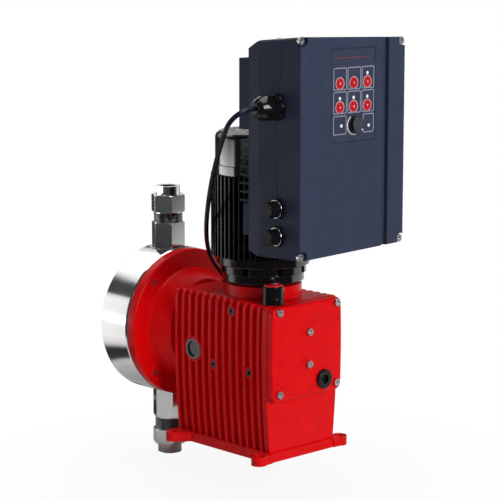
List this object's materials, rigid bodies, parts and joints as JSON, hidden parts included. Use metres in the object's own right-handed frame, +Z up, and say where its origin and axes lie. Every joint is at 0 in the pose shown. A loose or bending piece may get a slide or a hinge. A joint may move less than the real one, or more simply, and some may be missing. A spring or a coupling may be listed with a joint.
{
  "type": "diaphragm metering pump",
  "caption": "Motor-driven diaphragm metering pump: ribbed worm gear housing on a foot plate, flanged head with ball valves, vertical motor and frequency inverter.",
  "frame": {"origin": "centre of the four foot holes on the mounting plane of the foot plate", "axes": "+X towards the flat end cover and the inverter front, -X towards the pump head, -Y the ribbed side with the round cover, +Z up along the motor"},
  "size_m": [0.34, 0.2356, 0.5321],
  "materials": {
    "red_paint": "gloss enamel",
    "black_paint": "gloss enamel",
    "inverter_grey": "satin powder coat",
    "stainless": "fine turned",
    "steel": "zinc plated",
    "bearing_steel": "ground",
    "bright_metal": "nickel plated",
    "bronze": "machined",
    "copper": "varnished windings and laminations",
    "black_plastic": "moulded, glossy",
    "black_rubber": "matt",
    "sight_glass": "clear",
    "valve_ball": "ceramic, polished",
    "panel_foil": "printed foil",
    "key_red": "moulded"
  },
  "bodies": {
    "housing": {"gear_housing": "red_paint", "side_cover": "red_paint", "side_cover_screws": "steel", "sight_glass_ring": "bright_metal", "sight_glass": "sight_glass", "vent_plug": "black_plastic", "end_cover_gasket": "black_rubber", "end_cover": "red_paint", "end_cover_screws": "steel", "drain_plug": "black_plastic", "head_flange": "red_paint", "lantern_screws": "steel", "ball_bearings": "bearing_steel", "rod_bush": "bronze", "return_spring": "bearing_steel", "diaphragm": "black_rubber", "pump_head": "stainless", "head_screws": "steel", "discharge_valve_body": "stainless", "discharge_seat": "bright_metal", "discharge_union_nut": "stainless", "discharge_tail": "stainless", "suction_valve_body": "stainless", "suction_seat": "bright_metal", "suction_union_nut": "stainless", "suction_tail": "stainless", "motor_flange": "black_paint", "motor_screws": "steel", "motor_body": "black_paint", "stator": "copper", "motor_end_shield": "black_paint", "fan_cover": "black_paint", "inverter_saddle": "black_paint", "inverter_base": "inverter_grey", "inverter_cover": "inverter_grey", "inverter_screws": "steel", "keypad_panel": "panel_foil", "gland_body": "black_plastic", "gland_nut": "black_plastic", "blanking_plugs": "bright_metal", "signal_cable": "black_rubber", "cable_grommet": "black_rubber"},
    "rotor": {"rotor": "bearing_steel", "fan": "black_plastic"},
    "worm": {"worm_shaft": "bearing_steel", "spur_gear": "bearing_steel"},
    "eccentric": {"eccentric_shaft": "bearing_steel", "worm_wheel": "bronze", "eccentric_bearing": "bearing_steel"},
    "rod": {"push_rod": "bearing_steel", "diaphragm_core": "steel"},
    "suction_ball": {"suction_ball": "valve_ball"},
    "discharge_ball": {"discharge_ball": "valve_ball"},
    "knob": {"speed_knob": "black_plastic"},
    "key_1": {"key_1": "key_red"},
    "key_2": {"key_2": "key_red"},
    "key_3": {"key_3": "key_red"},
    "key_4": {"key_4": "key_red"},
    "key_5": {"key_5": "key_red"},
    "key_6": {"key_6": "key_red"}
  },
  "joints": [
    {"name": "motor_spin", "type": "hinge", "parent": "housing", "child": "rotor", "pos_m": [0.0125, 0, 0.25], "axis": [0, 0, 1], "continuous": true},
    {"name": "worm_spin", "type": "hinge", "parent": "housing", "child": "worm", "pos_m": [-0.014, 0.0209, 0.13], "axis": [0, 0, 1], "continuous": true},
    {"name": "eccentric_spin", "type": "hinge", "parent": "housing", "child": "eccentric", "pos_m": [0.0175, 0, 0.1285], "axis": [0, 1, 0], "continuous": true},
    {"name": "rod_stroke", "type": "slide", "parent": "housing", "child": "rod", "axis": [-1, 0, 0], "range_m": [0, 0.008], "stiffness_N_per_m": 2000, "springref_m": -0.004, "deforming": ["return_spring"]},
    {"name": "suction_ball_lift", "type": "slide", "parent": "housing", "child": "suction_ball", "axis": [0, 0, 1], "range_m": [0, 0.003]},
    {"name": "discharge_ball_lift", "type": "slide", "parent": "housing", "child": "discharge_ball", "axis": [0, 0, 1], "range_m": [0, 0.003]},
    {"name": "knob_turn", "type": "hinge", "parent": "housing", "child": "knob", "pos_m": [0.158, 0.002, 0.3905], "axis": [1, 0, 0], "range_deg": [-250, 30]},
    {"name": "key_1_press", "type": "slide", "parent": "housing", "child": "key_1", "axis": [-1, 0, 0], "range_m": [0, 0.001], "stiffness_N_per_m": 400, "springref_m": -0.0005},
    {"name": "key_2_press", "type": "slide", "parent": "housing", "child": "key_2", "axis": [-1, 0, 0], "range_m": [0, 0.001], "stiffness_N_per_m": 400, "springref_m": -0.0005},
    {"name": "key_3_press", "type": "slide", "parent": "housing", "child": "key_3", "axis": [-1, 0, 0], "range_m": [0, 0.001], "stiffness_N_per_m": 400, "springref_m": -0.0005},
    {"name": "key_4_press", "type": "slide", "parent": "housing", "child": "key_4", "axis": [-1, 0, 0], "range_m": [0, 0.001], "stiffness_N_per_m": 400, "springref_m": -0.0005},
    {"name": "key_5_press", "type": "slide", "parent": "housing", "child": "key_5", "axis": [-1, 0, 0], "range_m": [0, 0.001], "stiffness_N_per_m": 400, "springref_m": -0.0005},
    {"name": "key_6_press", "type": "slide", "parent": "housing", "child": "key_6", "axis": [-1, 0, 0], "range_m": [0, 0.001], "stiffness_N_per_m": 400, "springref_m": -0.0005}
  ],
  "couplings": [
    {"joint": "worm_spin", "follows": "motor_spin", "ratio": -0.6875},
    {"joint": "eccentric_spin", "follows": "motor_spin", "ratio": 0.045833}
  ]
}
